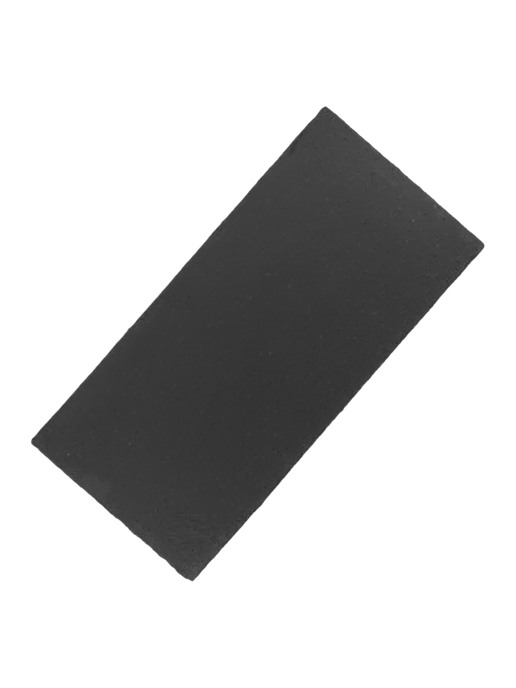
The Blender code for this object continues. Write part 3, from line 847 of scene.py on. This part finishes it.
def split_face(where):
    """(paleness, height in millimetres) of the riven faces.

    They are plain grey with faint cloud, grain and smears along the slab, and with scattered strokes and
    creases that have a painted highlight on one side and painted shade on the other. In a few patches the
    leaves end in small steps and chips. The marks crowd where the slab was handled most: towards both ends
    and along the front.
    """
    place = where.add("ShaderNodeSeparateXYZ", {}, {"Vector": where})
    handled = ramped(place * place, 0.07**2, 0.175**2) + ramped(place.other(1), -0.03, -0.08)
    cloud = noise(where, 17, 3, 0.55) - 0.5
    mottle = noise(turned(where, 10, 1.6), 110, 3, 0.6) - 0.5
    grain = noise(turned(where, 4, 3.0), 900, 3, 0.6) - 0.5
    patches = noise(where, 230, 2) - 0.52 + 0.15 * cloud + 0.04 * handled
    marked = ramped(patches, 0.12, 0.19) + 0.10 * ramped(patches, -0.02, 0.06)
    creases = noise(where, 210, 3, 0.6, 0.6)
    crowded = ramped(noise(where, 95, 2) + 0.05 * handled, 0.59, 0.68)
    smears = ramped(noise(turned(where, 3, 4.5), 420, 1, 0.5, 0.6), 0.58, 0.72)
    pale_chips = ramped(noise(turned(where, 14, 2.2), 640, 2, 0.6, 0.6), 0.570, 0.620)
    dark_chips = ramped(noise(turned(where, -20, 2.0), 600, 2, 0.6, 0.6), 0.585, 0.635)
    field = noise(turned(where, 12, 1.5), 165, 4, 0.62, 0.3)
    steps = ramped(field, 0.425, 0.440) + ramped(field, 0.495, 0.510) + ramped(field, 0.560, 0.575)
    lit_long, shaded_long = strokes(where, 80, 2.8, 0.42, 0.46, 0.10 - 0.15 * handled)
    lit_short, shaded_short = strokes(where, 150, 1.5, 0.42, 0.18, 0.04 - 0.06 * handled)
    speck, chance = dots(where, 150, 0.06, 0.12)
    pale_speck = speck * ramped(chance, 0.80, 0.95)
    # Pits are darkened with painted shade and dented by the bump.
    shaded_pit = speck * ramped(chance, 0.14, 0.04)

    # Strokes and creases: a painted highlight on one side and painted shade on the other.
    pale = lit_long + lit_short + crowded * ramped(creases, 0.505, 0.512) * ramped(creases, 0.532, 0.522)
    dark = shaded_long + shaded_short + crowded * ramped(creases, 0.522, 0.532) * ramped(creases, 0.552, 0.542)
    plain = FACE_PALENESS * (1 + 0.22 * cloud + 0.12 * mottle + 0.03 * grain + 0.08 * smears)
    marks = 0.16 * pale - 0.17 * dark + marked * (0.11 * pale_chips - 0.12 * dark_chips)
    marks = marks * (0.79 + 0.28 * handled)
    height = 0.004 * grain - 0.04 * shaded_pit + 0.04 * pale - 0.04 * dark
    height = height + marked * (0.04 * pale_chips - 0.04 * dark_chips + 0.08 * steps)
    return plain + marks + 0.14 * pale_speck - 0.09 * shaded_pit, height


def broken_stone(where):
    """(paleness, height in millimetres) that fresh breaks add: crumbs, holes darkened with painted shade,
    grit and leaves.
    """
    grit = noise(where, 1900, 2, 0.6) - 0.5
    bedded = turned(where, 50, 1.3, 0.25)
    crumb = ramped(noise(bedded, 900, 3, 0.65, 0.3), 0.565, 0.625)
    # Holes are darkened with painted shade and dented by the bump.
    shaded_hole = ramped(noise(bedded, 750, 3, 0.65, 0.6), 0.570, 0.630)
    layers = where.vector_maths("MULTIPLY", where, (130, 130, 2100))
    leaves = ramped(noise(layers, 1, 2, 0.5), 0.47, 0.53) - 0.5
    paleness = 0.005 + 0.08 * grit + 0.04 * leaves + 0.42 * crumb - 0.20 * shaded_hole
    return paleness, 0.12 * crumb - 0.12 * shaded_hole + 0.20 * leaves + 0.04 * grit


def single_marks(where):
    """Paleness of the marks with a place of their own: the scored patch, the chips and the painted notch
    shadows.
    """
    distance = where.vector_maths("DISTANCE", where, SCORED_PLACE, output=1)
    scores = noise(turned(where, SCORED_TURN, 9.0), 850, 1, 0.5, 0.5)
    lines = 0.085 * ramped(scores, 0.60, 0.66) - 0.065 * ramped(scores, 0.40, 0.34)
    marks = lines * ramped(distance, 0.025, 0.013)
    for x, y, radius, strength in CHIPS:
        marks = marks + strength * oval(where, x, y, radius, radius, 0)
    # Painted shadow of the notch at the far back corner.
    for x, y, half_length, half_across, degrees, strength in PAINTED_NOTCH_SHADOWS:
        marks = marks - strength * oval(where, x, y, half_length, half_across, degrees)
    return marks


def slate_material():
    """Dark grey stone: the split face, with the broken stone and the bruises, dust, painted light and
    painted shade by the mesh's own shares.
    """
    material = bpy.data.materials.new("riven_slate")
    material.use_nodes = True
    tree = material.node_tree
    shader = tree.nodes["Principled BSDF"]
    root = Lead(tree)
    where = root.add("ShaderNodeTexCoord", {}, {}, "Object")
    broken = root.add("ShaderNodeAttribute", {"attribute_name": "broken"}, {}, "Fac")
    bruise_and_painted_light = root.add("ShaderNodeAttribute", {"attribute_name": "pale"}, {}, "Fac")

    face, face_height = split_face(where)
    rough_stone, rough_height = broken_stone(where)
    uneven = noise(where, 300, 3, 0.65) - 0.5
    # The pale attribute brings bruises and dust, and also painted light, painted sheen and painted shade.
    worn_and_painted_light = 0.09 * bruise_and_painted_light * (1 + 2.2 * uneven)
    paleness = face + single_marks(where) + worn_and_painted_light + broken * rough_stone
    colour = root.add(
        "ShaderNodeMix", {"data_type": "RGBA"}, {0: paleness, 6: DEEP_STONE, 7: PALE_STONE}, 2
    )
    roughness = MATT + 0.30 * uneven + 0.14 * broken
    height = face_height + broken * rough_height
    bump = root.add("ShaderNodeBump", {}, {"Height": height, "Distance": MM, "Strength": 1.0})
    for name, lead in {"Base Color": colour, "Roughness": roughness, "Normal": bump}.items():
        tree.links.new(lead.socket, shader.inputs[name])
    shader.inputs["Metallic"].default_value = 0.0
    return material


stone = stone_object()
stone.data.materials.append(slate_material())
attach(stone, "root")
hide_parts("slate_slab")

# ----------------------
# The table and the room: a white light table, lit from within, under a white dome
# Neither is part of the object. Only the camera sees the dome, so the stone isn't lit by it.

DOME_RADIUS = 14.0
DOME_HEIGHTS = np.linspace(-0.02, 1.5, 19)  # angles above the horizon of the dome's rows
ROUND = np.linspace(0, 2 * math.pi, 73)[:-1]
TABLE_GAP = 0.05 * MM
WHITE_GLOW = 1.0
PALE_TABLE = (0.12, 0.12, 0.12, 1.0)  # under the glow, so that the soft boxes leave it even


def glowing_sheet(name, points, faces):
    """A matt white stage object that glows."""
    material = bpy.data.materials.new(name)
    material.use_nodes = True
    shader = material.node_tree.nodes["Principled BSDF"]
    shader.inputs["Base Color"].default_value = PALE_TABLE
    shader.inputs["Roughness"].default_value = 0.9
    shader.inputs["Emission Color"].default_value = (1, 1, 1, 1)
    shader.inputs["Emission Strength"].default_value = WHITE_GLOW
    mesh = bpy.data.meshes.new(name)
    mesh.from_pydata(points.tolist(), [], faces.tolist())
    mesh.materials.append(material)
    sheet = in_scene(name, mesh)
    return sheet


def table_top():
    """A disc: R * (cos t, sin t) at the stone's underside."""
    rim = DOME_RADIUS * np.column_stack([np.cos(ROUND), np.sin(ROUND), 0 * ROUND])
    rim[:, 2] = STONE_LOW[2] - TABLE_GAP
    return glowing_sheet("table_top", rim, np.arange(len(rim))[None, :])


def white_dome():
    """A half sphere, seen from inside: R * (cos t cos h, sin t cos h, sin h)."""
    turn, high = np.meshgrid(ROUND, DOME_HEIGHTS, indexing="ij")
    points = np.stack([np.cos(turn) * np.cos(high), np.sin(turn) * np.cos(high), np.sin(high)], axis=2)
    numbers = np.arange(turn.size).reshape(turn.shape)
    walls = net_faces(np.vstack([numbers, numbers[:1]]))[:, ::-1]
    dome = glowing_sheet("white_dome", DOME_RADIUS * points.reshape(-1, 3), walls)
    dome.visible_diffuse = False
    dome.visible_glossy = False
    dome.visible_transmission = False
    dome.visible_shadow = False
    return dome


table_top()
white_dome()

# ----------------------
# The light: three small soft boxes, low behind the slab and at both ends, in a dim white room
# Each faces the stone from half a metre off, about 30 degrees up, so that low relief shows.

ROOM_LIGHT = 0.10
BOX_SIDE = 0.30
# (name, place, power in watts)
SOFT_BOXES = (
    ("back_box", (0.150, 0.392, 0.26), 0.97),
    ("left_box", (-0.442, -0.086, 0.24), 1.13),
    ("right_box", (0.450, 0.008, 0.26), 1.28),
)


def light_room():
    world = bpy.context.scene.world = bpy.data.worlds.new("dim_room")
    world.use_nodes = True
    background = world.node_tree.nodes["Background"]
    background.inputs["Color"].default_value = (1, 1, 1, 1)
    background.inputs["Strength"].default_value = ROOM_LIGHT
    for name, place, power in SOFT_BOXES:
        data = bpy.data.lights.new(name, "AREA")
        data.shape = "SQUARE"
        data.size = BOX_SIDE
        data.energy = power
        light = in_scene(name, data)
        light.location = place
        across = math.hypot(*place[:2])
        light.rotation_euler = (0.0, math.atan2(across, place[2]), math.atan2(place[1], place[0]))
        light.visible_camera = False


light_room()

# ----------------------
# The camera: straight above the slab, turned so that the slab's far end points up and to the right
# A long lens from 1.6 m up hides the flanks below the widest line of the edge.

CAMERA_LENS = 100.0
SENSOR = 36.0
VIEW_HEIGHT = 582 * MM  # height of the view at the widest line of the stone
VIEW_TURN = math.radians(-48.96)
VIEW_MIDDLE = (0.06 * MM, 0.13 * MM)


def look_down():
    data = bpy.data.cameras.new("camera")
    data.lens = CAMERA_LENS
    data.sensor_width = SENSOR
    data.clip_start = 0.05
    camera = in_scene("camera", data)
    widest_line = (STONE_LOW[2] + STONE_HIGH[2]) / 2
    camera.location = (*VIEW_MIDDLE, widest_line + VIEW_HEIGHT * CAMERA_LENS / SENSOR)
    camera.rotation_euler = (0, 0, VIEW_TURN)
    bpy.context.scene.camera = camera
    bpy.context.scene.view_settings.view_transform = "Standard"


look_down()
